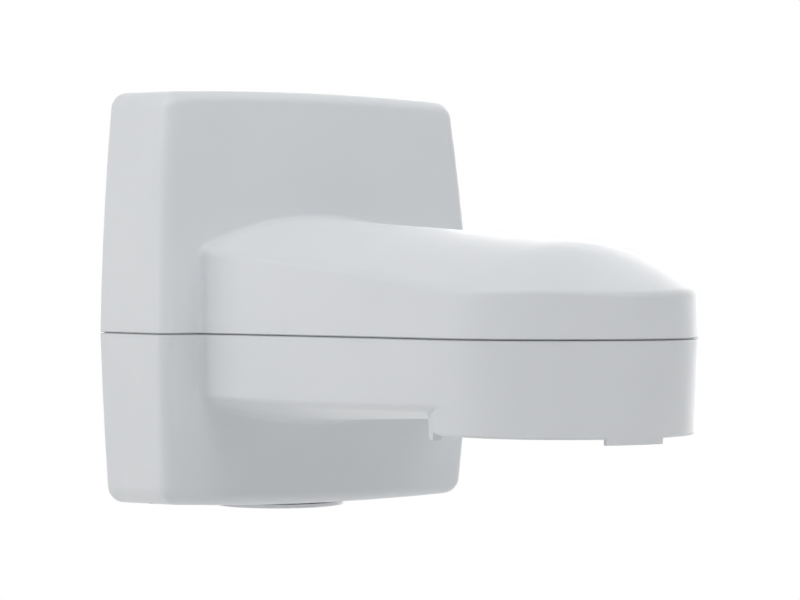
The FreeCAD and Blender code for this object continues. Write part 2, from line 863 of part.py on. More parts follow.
def cover_screws():
    """Four socket screws from below: two under the box, two under the web of the ring."""
    up = V(0, 0, 1)
    screws = []
    for p in box_screw_points(box_column_top_z - box_shoulder - cover_washer_t):
        length = cover_washer_t + box_shoulder + cover_thread_len
        screws.append(socket_screw(cover_head_r, cover_head_h, cover_screw_r, length, p, up))
    for p in ring_screw_points(web_top_z - web_thickness - cover_washer_t):
        length = cover_washer_t + web_thickness + cover_thread_len
        screws.append(socket_screw(cover_head_r, cover_head_h, cover_screw_r, length, p, up))
    return screws


def cover_screw_washers():
    """A washer under the head of each cover screw."""
    washers = []
    low = V(0, 0, cover_washer_t)
    seats = box_screw_points(box_column_top_z - box_shoulder) + ring_screw_points(web_top_z - web_thickness)
    for p in seats:
        washers.append(tube(cover_washer_r, cover_screw_r + screw_clearance, p - low, p))
    return washers


def cover_screw_retainers():
    """The rings that keep the cover screws in the housing while the cover is off."""
    rings = []
    for p in box_screw_points(box_column_top_z) + ring_screw_points(web_top_z):
        rings.append(tube(retainer_r, cover_screw_r + screw_clearance, p, p + V(0, 0, retainer_t)))
    return rings


def seam_seal():
    """The soft cord on the top of the tongue, all the way round."""
    top = tongue_height + seam_seal_height - seal_play
    return seam_band(tongue_height, top)


def plate_seal():
    """The soft strip between the edge of the back plate and the cover."""
    outer = box_half(True, wall + seal_play)
    inner = box_half(True, wall + plate_clearance)
    y0 = -(plate_thickness + plate_seal_width) / 2.0
    strip = slice_y(outer.cut(inner), y0, y0 + plate_seal_width)
    return slice_z(strip, tongue_height + seam_seal_height, FAR)


def conduit_cap():
    """The screwed cap of the bottom entry: a thin flange with a coin slot and a hollow threaded body."""
    seat_z = conduit_face_z - cap_gap
    axis_point = V(0, conduit_y, seat_z - cap_flange_t)
    flange = Part.makeCylinder(cap_r, cap_flange_t, axis_point)
    flange = flange.makeChamfer(cap_edge, [e for e in flange.Edges if e.BoundBox.ZMax < axis_point.z + NEAR])
    body_r = conduit_r - screw_clearance
    body = rod(body_r, V(0, conduit_y, seat_z), V(0, conduit_y, seat_z + cap_thread_h))
    hollow = rod(body_r - cap_wall, V(0, conduit_y, seat_z + cap_floor), V(0, conduit_y, 0))
    slot = slab(
        -cap_r * cap_slot_share,
        cap_r * cap_slot_share,
        conduit_y - cap_slot_w / 2.0,
        conduit_y + cap_slot_w / 2.0,
        axis_point.z - OVER,
        axis_point.z + cap_slot_depth,
    )
    return flange.fuse(body).cut(hollow).cut(slot).removeSplitter()


def conduit_cap_seal():
    """The flat seal between the cap's flange and the box."""
    top = V(0, conduit_y, conduit_face_z)
    return tube(cap_seal_outer, cap_seal_inner, top - V(0, 0, cap_gap), top)


def wall_gasket():
    """The soft cord in the groove of the rear face."""
    return wall_band(gasket_inset + seal_play, gasket_inset + gasket_width - seal_play, -gasket_depth, 0)


def rear_grommet():
    """A stepped rubber grommet in the rear entry, with a thin closed membrane to be pierced for the cable."""
    hole = entry_r - seal_play
    flange = entry_r + entry_flange - seal_play
    lip_y = plate_thickness + grommet_lip
    profile = [
        (0.0, entry_recess),
        (grommet_bore, entry_recess),
        (grommet_bore, 0.0),
        (flange, 0.0),
        (flange, entry_recess),
        (hole, entry_recess),
        (hole, plate_thickness),
        (flange, plate_thickness),
        (flange, lip_y),
        (grommet_bore, lip_y),
        (membrane_r, entry_recess + membrane_t + membrane_rise),
        (membrane_r, entry_recess + membrane_t),
        (0.0, entry_recess + membrane_t),
    ]
    points = [V(r, -y, entry_z) for r, y in profile]
    face = Part.Face(Part.makePolygon(points + [points[0]]))
    return face.revolve(V(0, 0, entry_z), V(0, 1, 0), 360)


def camera_plate():
    """The steel plate that the camera is screwed to."""
    top = web_top_z - web_thickness
    plate = ring_axis(cam_plate_r, top - cam_plate_t, top)
    holes = [ring_axis(cam_plate_hole_r, top - cam_plate_t - OVER, top + OVER)]
    low, over = V(0, 0, cam_plate_t + OVER), V(0, 0, OVER)
    for p in camera_hole_points(top):
        holes.append(rod(cam_hole_r, p - low, p + over))
    for p in plate_screw_points(top):
        holes.append(rod(plate_screw_r + hole_clearance, p - low, p + over))
    return plate.cut(Part.makeCompound(holes))


def camera_plate_screws():
    """The screws that hold the plate under the web."""
    seat = web_top_z - web_thickness - cam_plate_t
    screws = []
    for p in plate_screw_points(seat):
        screws.append(socket_screw(plate_head_r, plate_head_h, plate_screw_r, plate_screw_len, p, V(0, 0, 1)))
    return screws


def camera_gasket():
    """The soft ring under the camera plate, round the cable hole."""
    top = web_top_z - web_thickness - cam_plate_t
    ring = ring_axis(cam_gasket_outer, top - cam_gasket_t, top)
    return ring.cut(ring_axis(cam_plate_hole_r + cam_gasket_edge, top - cam_gasket_t - OVER, top + OVER))


def safety_eye():
    """The eye bolt for the camera's safety line, with a collar under the web."""
    seat = on_ring(eye_pcr, eye_angle, web_top_z - web_thickness)
    up = V(0, 0, 1)
    shank = rod(eye_shank_r, seat, V(seat.x, seat.y, web_top_z + eye_nut_t + eye_shank_r / 2.0))
    collar = rod(eye_collar_r, seat - up * eye_wire_r, seat)
    centre = seat - up * (eye_wire_r + eye_r)
    half_width = V(0, eye_wire_r, 0)
    ring = tube(eye_r + eye_wire_r, eye_r - eye_wire_r, centre - half_width, centre + half_width)
    return fuse_all([shank, collar, ring])


def safety_eye_nut():
    """The nut of the eye bolt, on top of the web."""
    low = on_ring(eye_pcr, eye_angle, web_top_z)
    high = low + V(0, 0, eye_nut_t)
    return hex_bar(eye_nut_across, low, high).cut(rod(eye_shank_r + screw_clearance, low, high))


def camera_lock_screw():
    """The set screw that holds the camera's collar in the ring."""
    tip = on_ring(ring_bore_r - lock_reach, lock_angle, lock_z)
    end = on_ring(ring_bore_r - lock_reach + lock_len, lock_angle, lock_z)
    axis = tip.sub(end)
    body = rod(lock_r, end, tip)
    return body.cut(hex_bar(lock_r, end, end + axis * lock_socket_share))


def cable_clamp():
    """A saddle across the cable, on two small bosses of the back plate."""
    seat_y = -plate_thickness - small_boss_h
    low = clamp_z - clamp_width / 2.0
    outer_r = clamp_bore_r + clamp_wall
    foot = clamp_pitch / 2.0 + small_boss_r
    feet = slab(clamp_x - foot, clamp_x + foot, seat_y - clamp_foot_t, seat_y, low, low + clamp_width)
    arch = rod(outer_r, V(clamp_x, seat_y, low), V(clamp_x, seat_y, low + clamp_width))
    arch = slice_y(arch, -FAR, seat_y)
    bore = rod(clamp_bore_r, V(clamp_x, seat_y, low - OVER), V(clamp_x, seat_y, low + clamp_width + OVER))
    body = feet.fuse(arch).cut(bore)
    for p in clamp_screw_points(seat_y):
        over = V(0, OVER, 0)
        body = body.cut(rod(small_screw_r + hole_clearance, p - V(0, clamp_foot_t, 0) - over, p + over))
    return body.removeSplitter()


def cable_clamp_screws():
    """The two screws of the cable clamp."""
    seat_y = -plate_thickness - small_boss_h - clamp_foot_t
    back = V(0, 1, 0)
    screws = []
    for p in clamp_screw_points(seat_y):
        screws.append(socket_screw(small_head_r, small_head_h, small_screw_r, small_screw_len, p, back))
    return screws


def earth_washer():
    """The washer under the earth screw's head."""
    seat = V(earth_x, -plate_thickness - small_boss_h, earth_z)
    return tube(earth_washer_r, earth_screw_r + screw_clearance, seat - V(0, earth_washer_t, 0), seat)


def earth_screw():
    """The earth screw on its boss of the back plate."""
    seat = V(earth_x, -plate_thickness - small_boss_h - earth_washer_t, earth_z)
    return socket_screw(earth_head_r, earth_head_h, earth_screw_r, earth_screw_len, seat, V(0, 1, 0))


def save(name, shapes):
    """Write one node: one solid, or a group of like solids."""
    shape = shapes if not isinstance(shapes, list) else Part.makeCompound(shapes)
    shape.exportStep("parts/%s.step" % name)
    print(name, round(shape.Volume / 1000.0, 3), "cm3", len(shape.Solids), "solids", shape.isValid())


for make in (
    lower_housing,
    upper_cover,
    seam_seal,
    plate_seal,
    cover_screws,
    cover_screw_washers,
    cover_screw_retainers,
    conduit_cap,
    conduit_cap_seal,
    wall_gasket,
    rear_grommet,
    camera_plate,
    camera_plate_screws,
    camera_gasket,
    safety_eye,
    safety_eye_nut,
    camera_lock_screw,
    cable_clamp,
    cable_clamp_screws,
    earth_screw,
    earth_washer,
):
    save(make.__name__, make())
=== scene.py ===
# %% [markdown]
# # A camera wall bracket in painted cast aluminium
# The bracket is a closed casting in two halves. The lower housing carries the back box, the arm and
# the camera ring, and the upper cover closes them along one level seam. The construction model is
# loaded as a fixed frame, and this lesson dresses it: two coated castings, a moulded cap, rubber
# seals and small steel parts.

import math

import bmesh
import bpy
from mathutils import Matrix, Vector


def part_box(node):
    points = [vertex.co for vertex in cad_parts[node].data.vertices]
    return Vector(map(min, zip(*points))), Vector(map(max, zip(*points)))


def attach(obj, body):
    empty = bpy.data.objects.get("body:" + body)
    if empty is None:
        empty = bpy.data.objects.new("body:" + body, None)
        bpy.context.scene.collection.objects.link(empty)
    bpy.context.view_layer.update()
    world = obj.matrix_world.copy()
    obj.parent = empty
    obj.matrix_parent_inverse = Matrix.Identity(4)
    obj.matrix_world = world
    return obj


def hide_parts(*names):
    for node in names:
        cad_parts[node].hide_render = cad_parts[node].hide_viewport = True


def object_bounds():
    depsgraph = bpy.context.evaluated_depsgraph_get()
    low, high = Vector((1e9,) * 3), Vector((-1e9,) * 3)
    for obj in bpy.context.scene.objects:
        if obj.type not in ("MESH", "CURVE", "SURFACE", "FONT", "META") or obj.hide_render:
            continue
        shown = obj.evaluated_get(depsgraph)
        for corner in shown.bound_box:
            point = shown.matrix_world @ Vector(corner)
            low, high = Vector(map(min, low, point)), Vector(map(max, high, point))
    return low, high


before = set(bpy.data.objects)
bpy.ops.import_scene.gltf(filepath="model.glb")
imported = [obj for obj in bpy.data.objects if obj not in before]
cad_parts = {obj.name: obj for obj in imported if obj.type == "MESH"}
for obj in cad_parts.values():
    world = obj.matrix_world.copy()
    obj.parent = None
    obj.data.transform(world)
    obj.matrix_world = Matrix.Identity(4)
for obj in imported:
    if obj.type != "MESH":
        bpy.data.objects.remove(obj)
cad_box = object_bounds()
MM = 0.001
print("nodes:", len(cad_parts), "box:", cad_box)

# %% [markdown]
# ## Camera
# The photograph was taken with a long lens, almost level with the seam and well to the left of the
# arm. The place and the turn below came from fitting a pinhole camera to the box's corners, the seam
# and the ring. A long lens keeps the box and the ring near their true proportions. The camera looks
# along its own -Z, so it is first turned up to the horizon and then round the upright axis.

# %% Camera
CAMERA_PLACE = Vector((-562.93, -1155.49, 15.459)) * MM
CAMERA_YAW = math.radians(29.412)
CAMERA_PITCH = math.radians(-0.0168)
CAMERA_ROLL = math.radians(-0.0595)
CAMERA_REACH = 20.0
LENS_MM = 113.17
SENSOR_MM = 36.0

bpy.ops.object.camera_add(location=CAMERA_PLACE)
camera = bpy.context.object
round_upright = Matrix.Rotation(-CAMERA_YAW, 4, "Z")
up_to_horizon = Matrix.Rotation(math.pi / 2 - CAMERA_PITCH, 4, "X")
roll = Matrix.Rotation(CAMERA_ROLL, 4, "Z")
camera.rotation_euler = (round_upright @ up_to_horizon @ roll).to_euler()
camera.data.lens = LENS_MM
camera.data.sensor_width = SENSOR_MM
camera.data.clip_end = CAMERA_REACH
bpy.context.scene.camera = camera
print("camera at", [round(v, 3) for v in camera.location])

# %% [markdown]
# ## Shader maths in plain Python
# A material is a graph of nodes, and long graphs are hard to read when each link is a line of its
# own. Two small classes keep them short. `Value` wraps one socket, so that `mask * 0.2 + 0.4` adds
# its Math nodes by itself. `Finish` is a material in the making, and its `node` method adds any other
# node, with its settings first and then its sockets.

# %% Shader helpers
class Value:
    """One shader socket that takes part in arithmetic."""

    def __init__(self, finish, socket):
        self.finish = finish
        self.socket = socket

    def __add__(self, other):
        return self.finish.math("ADD", self, other)

    def __mul__(self, other):
        return self.finish.math("MULTIPLY", self, other)

    __radd__ = __add__
    __rmul__ = __mul__


class Finish:
    """A material in the making."""

    def __init__(self, name, **shader_values):
        self.material = bpy.data.materials.new(name)
        self.material.use_nodes = True
        self.tree = self.material.node_tree
        self.shader = self.tree.nodes["Principled BSDF"]
        self.set(**shader_values)

    def node(self, kind, settings=None, sockets=None, out=0):
        """Add a node: its settings, then the values or links of its sockets. Gives one output."""
        node = self.tree.nodes.new("ShaderNode" + kind)
        for key, value in (settings or {}).items():
            if key == "stops":
                for stop, (place, grey) in zip(node.color_ramp.elements, value):
                    stop.position = place
                    stop.color = (grey, grey, grey, 1.0)
            else:
                setattr(node, key, value)
        for key, value in (sockets or {}).items():
            self.feed(node.inputs[key], value)
        return Value(self, node.outputs[out])

    def feed(self, socket, value):
        """Link a Value into a socket, or set a plain number or colour there."""
        if isinstance(value, Value):
            self.tree.links.new(value.socket, socket)
        else:
            socket.default_value = value

    def math(self, operation, a, b):
        return self.node("Math", {"operation": operation}, {0: a, 1: b})

    def place(self):
        """Object coordinates, in metres, because every piece's object sits at the origin."""
        return self.node("TexCoord", out="Object")

    def noise(self, size, detail=2.0):
        """Soft noise from 0 to 1, whose lumps are about `size` metres wide."""
        sockets = {"Vector": self.place(), "Scale": 1.0 / size, "Detail": detail}
        return self.node("TexNoise", sockets=sockets, out="Fac")

    def ramp(self, value, low, high):
        """A mask that climbs from 0 to 1 between two values."""
        return self.node("ValToRGB", {"stops": [(low, 0.0), (high, 1.0)]}, {"Fac": value}, out="Color")

    def blend(self, mask, color_a, color_b):
        """One colour where the mask is 0, the other where it is 1. Each is a triple or a blend."""
        a, b = (c if isinstance(c, Value) else (*c, 1.0) for c in (color_a, color_b))
        return self.node("Mix", {"data_type": "RGBA"}, {"Factor": mask, 6: a, 7: b}, out=2)

    def bump(self, height, depth):
        """A bump whose full height is `depth` metres."""
        sockets = {"Strength": 1.0, "Distance": depth, "Height": height}
        return self.node("Bump", sockets=sockets, out="Normal")

    def set(self, **inputs):
        """Feed the shader's own sockets and give the material."""
        for key, value in inputs.items():
            self.feed(self.shader.inputs[key.replace("_", " ")], value)
        return self.material


# %% [markdown]
# ## The coat of the castings
# Powder coating is sprayed dry and melts in an oven. It lies as a satin film with a very fine skin of
# ripples, about a millimetre wide and a hundredth deep, and it is a little thicker in some places
# than in others. A noise of that width drives the bump, and a broad, weak one shifts the tone and the
# roughness, so that a highlight isn't perfectly even. The tone is a cool, pale grey white. Within a
# millimetre of the seam, which is the plane Z = 0, the coat is painted a shade darker. This is painted
# shade, and it stands in for the shadow that falls into the open joint between the castings.

# %% Coat of the castings
COAT_PALE = (0.791, 0.812, 0.834)
COAT_DEEP = (0.768, 0.790, 0.813)
# Painted shade: the coat's colour right at the seam, where shadow lies in the joint.
COAT_SEAM_SHADE = (0.60, 0.615, 0.635)
COAT_ROUGHNESS = 0.40
COAT_UNEVENNESS = 0.08
DRIFT_WIDTH = 85.0 * MM
RIPPLE_WIDTH = 1.1 * MM
RIPPLE_SHARE = 0.8
GRAIN_WIDTH = 0.32 * MM
GRAIN_SHARE = 0.2
RIPPLE_DEPTH = 0.012 * MM
SEAM_SHADE_ENDS = 0.9 * MM
SEAM_SHADE_FULL_SHARE = 0.55
# Noise stays near 0.5, so a mask between these two values shows both tones.
MIDDLING = (0.35, 0.65)


def powder_coat():
    finish = Finish("powder_coat", IOR=1.5)
    drift = finish.noise(DRIFT_WIDTH, detail=3.0)
    ripple = finish.noise(RIPPLE_WIDTH, detail=1.5)
    grain = finish.noise(GRAIN_WIDTH, detail=1.0)
    color = finish.blend(finish.ramp(drift, *MIDDLING), COAT_PALE, COAT_DEEP)
    # Painted shade: the coat darkens towards the seam plane Z = 0, in place of the joint's shadow.
    level = finish.node("SeparateXYZ", sockets={"Vector": finish.place()}, out="Z")
    away = finish.math("ABSOLUTE", level, 0.0) * (1.0 / SEAM_SHADE_ENDS)
    color = finish.blend(finish.ramp(away, SEAM_SHADE_FULL_SHARE, 1.0), COAT_SEAM_SHADE, color)
    roughness = drift * COAT_UNEVENNESS + COAT_ROUGHNESS
    relief = finish.bump(ripple * RIPPLE_SHARE + grain * GRAIN_SHARE, RIPPLE_DEPTH)
    return finish.set(Base_Color=color, Roughness=roughness, Normal=relief)


coat = powder_coat()
print("coat:", coat.name, "nodes:", len(coat.node_tree.nodes))

# %% [markdown]
# ## Moulded plastic, rubber, steel and brass
# The cap is moulded in the castings' colour, but plastic takes the fine spark texture of its mould.
# Rubber is nearly black, with a dusty skin. The steel parts are turned or rolled, so their roughness
# comes in fine streaks: one noise is stretched along the direction in which the tool or the roll
# went, and pressed together across it.

# %% Small finishes
MOULD_DRIFT = 20.0 * MM
MOULD_UNEVENNESS = 0.06
SPARK_WIDTH = 0.45 * MM
SPARK_DEPTH = 0.015 * MM
RUBBER_BLACK = (0.020, 0.020, 0.021)
RUBBER_DUST = (0.046, 0.046, 0.047)
RUBBER_ROUGHNESS = 0.62
RUBBER_UNEVENNESS = 0.2
DUST_WIDTH = 6.0 * MM
DUSTY = (0.42, 0.72)
PORE_WIDTH = 0.5 * MM
PORE_DEPTH = 0.02 * MM
STAIN_WIDTH = 7.0 * MM
STAINED = (0.3, 0.7)
STREAK_DEPTH = 0.006 * MM
STREAK_UNEVENNESS = 0.16
# Streaks to the metre along X, Y and Z: few along the way of the roll or the tool.
ROLLED_ALONG_Y = (2600.0, 120.0, 2600.0)
TURNED_ROUND_Z = (500.0, 500.0, 4200.0)
TURNED_ROUND_Y = (500.0, 4200.0, 500.0)


def moulded_plastic(name, pale, deep, roughness):
    finish = Finish(name, IOR=1.46)
    drift = finish.noise(MOULD_DRIFT)
    spark = finish.noise(SPARK_WIDTH, detail=1.0)
    color = finish.blend(finish.ramp(drift, *MIDDLING), pale, deep)
    uneven = drift * MOULD_UNEVENNESS + roughness
    relief = finish.bump(spark, SPARK_DEPTH)
    return finish.set(Base_Color=color, Roughness=uneven, Normal=relief)


def seal_rubber():
    finish = Finish("seal_rubber", IOR=1.5)
    dust = finish.noise(DUST_WIDTH, detail=4.0)
    pores = finish.noise(PORE_WIDTH)
    color = finish.blend(finish.ramp(dust, *DUSTY), RUBBER_BLACK, RUBBER_DUST)
    uneven = dust * RUBBER_UNEVENNESS + RUBBER_ROUGHNESS
    relief = finish.bump(pores, PORE_DEPTH)
    return finish.set(Base_Color=color, Roughness=uneven, Normal=relief)


def streaked_metal(name, pale, deep, streaks_per_metre, roughness):
    finish = Finish(name, Metallic=1.0)
    stretched = finish.node("Mapping", sockets={"Vector": finish.place(), "Scale": streaks_per_metre})
    sockets = {"Vector": stretched, "Scale": 1.0, "Detail": 3.0}
    streaks = finish.node("TexNoise", sockets=sockets, out="Fac")
    stain = finish.noise(STAIN_WIDTH, detail=3.0)
    color = finish.blend(finish.ramp(stain, *STAINED), pale, deep)
    uneven = streaks * STREAK_UNEVENNESS + roughness
    relief = finish.bump(streaks, STREAK_DEPTH)
    return finish.set(Base_Color=color, Roughness=uneven, Normal=relief)


cap_plastic = moulded_plastic(
    "cap_plastic", pale=(0.775, 0.785, 0.803), deep=(0.755, 0.765, 0.785), roughness=0.42)
nylon = moulded_plastic(
    "black_nylon", pale=(0.030, 0.030, 0.031), deep=(0.022, 0.022, 0.023), roughness=0.48)
rubber = seal_rubber()
rolled_steel = streaked_metal(
    "rolled_steel", pale=(0.56, 0.56, 0.55), deep=(0.48, 0.48, 0.48),
    streaks_per_metre=ROLLED_ALONG_Y, roughness=0.26)
turned_steel = streaked_metal(
    "turned_steel", pale=(0.60, 0.60, 0.59), deep=(0.52, 0.52, 0.52),
    streaks_per_metre=TURNED_ROUND_Z, roughness=0.22)
brass = streaked_metal(
    "plain_brass", pale=(0.75, 0.53, 0.24), deep=(0.66, 0.45, 0.19),
    streaks_per_metre=TURNED_ROUND_Y, roughness=0.24)
print("finishes:", [m.name for m in bpy.data.materials])

# %% [markdown]
# ## Working by hand, in code
# Operators act on whatever is selected, and the frame comes in selected, so each step starts with
# nothing selected. The helpers below do what a modeller does with the mouse: pick an object, move its
# place into its mesh, add a modifier and apply it at once, shade it smooth, and say what it is. A
# finished piece has its place in its mesh, and its object stays at the origin.

# %% Modelling helpers
SOFT_ANGLE = math.radians(32.0)
SHARP_ANGLE = math.radians(35.0)
SAME_POINT = 0.001 * MM


def pick(piece):
    """Select one object alone and make it active."""
    bpy.ops.object.select_all(action="DESELECT")
    bpy.context.view_layer.objects.active = piece
    piece.select_set(True)


def settle(piece, name):
    """Name a new piece and move its place and turn into its mesh."""
    pick(piece)
    piece.name = name
    bpy.ops.object.transform_apply(location=True, rotation=True, scale=True)
    return piece


def apply_modifier(piece, kind, **settings):
    """Add a modifier, set it and apply it."""
    pick(piece)
    modifier = piece.modifiers.new(kind.lower(), kind)
    for key, value in settings.items():
        setattr(modifier, key, value)
    bpy.ops.object.modifier_apply(modifier=modifier.name)


def bevel(piece, width):
    """Round every sharp edge of a piece by a width in millimetres."""
    apply_modifier(piece, "BEVEL", width=width * MM, segments=2, limit_method="ANGLE",
                   angle_limit=SHARP_ANGLE)


def smooth(piece):
    """Shade smooth across soft edges, and let large faces rule the shading beside small rounds."""
    pick(piece)
    bpy.ops.object.shade_smooth_by_angle(angle=SOFT_ANGLE)
    apply_modifier(piece, "WEIGHTED_NORMAL", keep_sharp=True)


def give(piece, material, node):
    """Finish a piece: its material, its body, and the node that it stands for, which is hidden."""
    piece.data.materials.clear()
    piece.data.materials.append(material)
    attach(piece, "root")
    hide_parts(node)
    triangles = sum(len(p.vertices) - 2 for p in piece.data.polygons)
    print(piece.name, "triangles:", triangles)


# %% [markdown]
# ## The two castings
# The shapes of the castings are exact in the frame, and what they lack is the way light runs over
# them: their meshes are loose triangles, and each would show as a facet. So each casting is copied,
# its doubled corners are merged, and its soft edges are smoothed. The copy also brings the normals
# that the loose triangles had, and those are cleared first, because they would smear light across
# every sharp edge. Weighted normals then keep the big flats flat right up to the small rounds, which
# is what makes a satin coat look like one skin.

# %% Castings
def casting(node, name):
    """A copy of a construction node whose doubled corners are merged into one closed skin."""
    piece = bpy.data.objects.new(name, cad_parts[node].data.copy())
    bpy.context.scene.collection.objects.link(piece)
    pick(piece)
    bpy.ops.object.mode_set(mode="EDIT")
    bpy.ops.mesh.select_all(action="SELECT")
    bpy.ops.mesh.remove_doubles(threshold=SAME_POINT)
    bpy.ops.object.mode_set(mode="OBJECT")
    bpy.ops.mesh.customdata_custom_splitnormals_clear()
    return piece


cover = casting("upper_cover", "cover_casting")
housing = casting("lower_housing", "housing_casting")
for piece in (cover, housing):
    print(piece.name, "corners:", len(piece.data.vertices))

# %% [markdown]
# ## The edges of the seam
# A coat doesn't hold on a knife edge, so both castings have their outer edge at the seam broken by a
# narrow slope, and that is what makes the dark line look soft and a little wider than the gap. A
# Bevel would pinch the thin triangles here. Instead each wall is cut all round, just off the seam,
# with bisect, and the edge itself is then drawn in towards the wall's inside by the same amount.

# %% Seam edges
SEAM_HALF = 0.25 * MM
SEAM_SLOPE = 0.35 * MM
SEAM_FLATNESS = 0.01 * MM
WALL_LEAN = 0.3


def break_seam_edge(piece, side):
    """Slope the outer edge at the seam. `side` is 1 for the casting above it and -1 for the other."""
    level = side * SEAM_HALF
    pick(piece)
    bpy.ops.object.mode_set(mode="EDIT")
    bpy.ops.mesh.select_all(action="SELECT")
    bpy.ops.mesh.bisect(plane_co=(0.0, 0.0, level + side * SEAM_SLOPE), plane_no=(0.0, 0.0, 1.0))
    mesh = bmesh.from_edit_mesh(piece.data)
    walls = {}
    for edge in mesh.edges:
        on_level = all(abs(v.co.z - level) < SEAM_FLATNESS for v in edge.verts)
        if on_level and edge.is_convex:
            for face in edge.link_faces:
                if abs(face.normal.z) < WALL_LEAN:
                    for vert in edge.verts:
                        walls.setdefault(vert, []).append(face.normal.copy())
    for vert, normals in walls.items():
        inward = -sum(normals, Vector())
        inward.z = 0.0
        vert.co += inward.normalized() * SEAM_SLOPE
    bmesh.update_edit_mesh(piece.data)
    bpy.ops.object.mode_set(mode="OBJECT")
    print(piece.name, "seam corners moved:", len(walls))


break_seam_edge(cover, 1)
break_seam_edge(housing, -1)
for piece, node in ((cover, "upper_cover"), (housing, "lower_housing")):
    smooth(piece)
    give(piece, coat, node)

# %% [markdown]
# ## Turning and threading
# The cap, the grommet, the screws and the eye are turned shapes. One outline, drawn point by point
# with extrude, is spun once round the Z axis, and a Bevel modifier rounds its corners. A thread is a
# small triangle that a Screw modifier carries round and up, sunk into its core, so that it stands out
# as one helical ridge. Outlines are given as (radius, height) in millimetres, as in a turner's
# drawing.

# %% Turned shapes
RIDGE_SHARE = 0.9
RIDGE_SUNK = 0.1


def turned(outline, steps, rounding):
    """Spin an outline of (radius, height) points round Z and round its corners."""
    bpy.ops.object.select_all(action="DESELECT")
    bpy.ops.mesh.primitive_plane_add(size=MM)
    piece = bpy.context.object
    bpy.ops.object.mode_set(mode="EDIT")
    bpy.ops.mesh.select_mode(type="VERT")
    bpy.ops.mesh.select_all(action="SELECT")
    bpy.ops.mesh.merge(type="CENTER")
    radius, height = outline[0]
    bpy.ops.transform.translate(value=(radius * MM, 0.0, height * MM))
    for (r0, z0), (r1, z1) in zip(outline, outline[1:]):
        step = ((r1 - r0) * MM, 0.0, (z1 - z0) * MM)
        bpy.ops.mesh.extrude_vertices_move(TRANSFORM_OT_translate={"value": step})
    bpy.ops.mesh.select_all(action="SELECT")
    bpy.ops.mesh.spin(steps=steps, angle=math.tau, center=(0.0, 0.0, 0.0), axis=(0.0, 0.0, 1.0))
    bpy.ops.mesh.select_all(action="SELECT")
    bpy.ops.mesh.remove_doubles(threshold=SAME_POINT)
    bpy.ops.mesh.normals_make_consistent(inside=False)
    bpy.ops.object.mode_set(mode="OBJECT")
    bevel(piece, rounding)
    return piece


def ridge(radius, depth, pitch, low, turns, steps):
    """A thread: a triangle as deep as given, carried round and up, closed at its two ends."""
    bpy.ops.object.select_all(action="DESELECT")
    bpy.ops.mesh.primitive_circle_add(vertices=3, fill_type="NOTHING")
    piece = bpy.context.object
    foot = radius - depth - RIDGE_SUNK
    width = pitch * RIDGE_SHARE
    corners = ((foot, low), (radius, low + width / 2.0), (foot, low + width))
    for vert, (x, z) in zip(piece.data.vertices, corners):
        vert.co = Vector((x, 0.0, z)) * MM
    apply_modifier(piece, "SCREW", axis="Z", angle=math.tau, screw_offset=pitch * MM,
                   iterations=turns, steps=steps, render_steps=steps)
    bpy.ops.object.mode_set(mode="EDIT")
    bpy.ops.mesh.select_all(action="DESELECT")
    bpy.ops.mesh.select_non_manifold()
    bpy.ops.mesh.fill_holes(sides=3)
    bpy.ops.mesh.select_all(action="SELECT")
    bpy.ops.mesh.normals_make_consistent(inside=False)
    bpy.ops.object.mode_set(mode="OBJECT")
    return piece


def cut_with(piece, cutter):
    """Take a cutter out of a piece and throw the cutter away."""
    apply_modifier(piece, "BOOLEAN", operation="DIFFERENCE", object=cutter, solver="EXACT")
    bpy.data.objects.remove(cutter)


def join(pieces, name):
    """Join pieces into the first one."""
    bpy.ops.object.select_all(action="DESELECT")
    for piece in pieces:
        piece.select_set(True)
    bpy.context.view_layer.objects.active = pieces[0]
    bpy.ops.object.join()
    pieces[0].name = name
    return pieces[0]


def hex_cutter(across, low, high):
    """A six-sided cutter along Z, given by the distance across its flats."""
    bpy.ops.object.select_all(action="DESELECT")
    place = (0.0, 0.0, (low + high) / 2.0 * MM)
    radius = across / math.sqrt(3.0) * MM
    bpy.ops.mesh.primitive_cylinder_add(vertices=6, radius=radius, depth=(high - low) * MM,
                                        location=place)
    return settle(bpy.context.object, "cutter")


# %% [markdown]
# ## Places from the frame
# One node often holds several screws or washers. They are found as the frame's separate solids: from
# one corner the walk goes along edges until it finds no new corner, and the box of what it met is one
# solid's place. A modelled screw is then set into that box, so it can't drift from the construction
# model.

# %% Separate solids of a node
def solids(node):
    """The lowest and highest corner of each separate solid of a node, in metres."""
    mesh = bmesh.new()
    mesh.from_mesh(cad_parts[node].data)
    bmesh.ops.remove_doubles(mesh, verts=mesh.verts, dist=SAME_POINT)
    mesh.verts.index_update()
    left = {v.index: v for v in mesh.verts}
    boxes = []
    while left:
        _, first = left.popitem()
        reached = [first]
        for vert in reached:
            for edge in vert.link_edges:
                other = edge.other_vert(vert)
                if left.pop(other.index, None):
                    reached.append(other)
        low = Vector([min(v.co[i] for v in reached) for i in range(3)])
        high = Vector([max(v.co[i] for v in reached) for i in range(3)])
        boxes.append((low, high))
    mesh.free()
    return sorted(boxes, key=lambda box: tuple(round(v, 4) for v in box[0]))


def facing(direction):
    """The turn that brings +Z to a direction."""
    return Vector((0.0, 0.0, 1.0)).rotation_difference(Vector(direction)).to_matrix().to_4x4()


print("cover screws found:", len(solids("cover_screws")))

# %% [markdown]
# ## The entry cap
# The cap closes the 50 mm entry under the box. It is a moulded cup with a wide flange, a coarse
# thread and a slot for a coin or a wide blade. The flange's rim is well rounded, as moulded rims are,
# and it is the one part of the cap that the photograph shows.

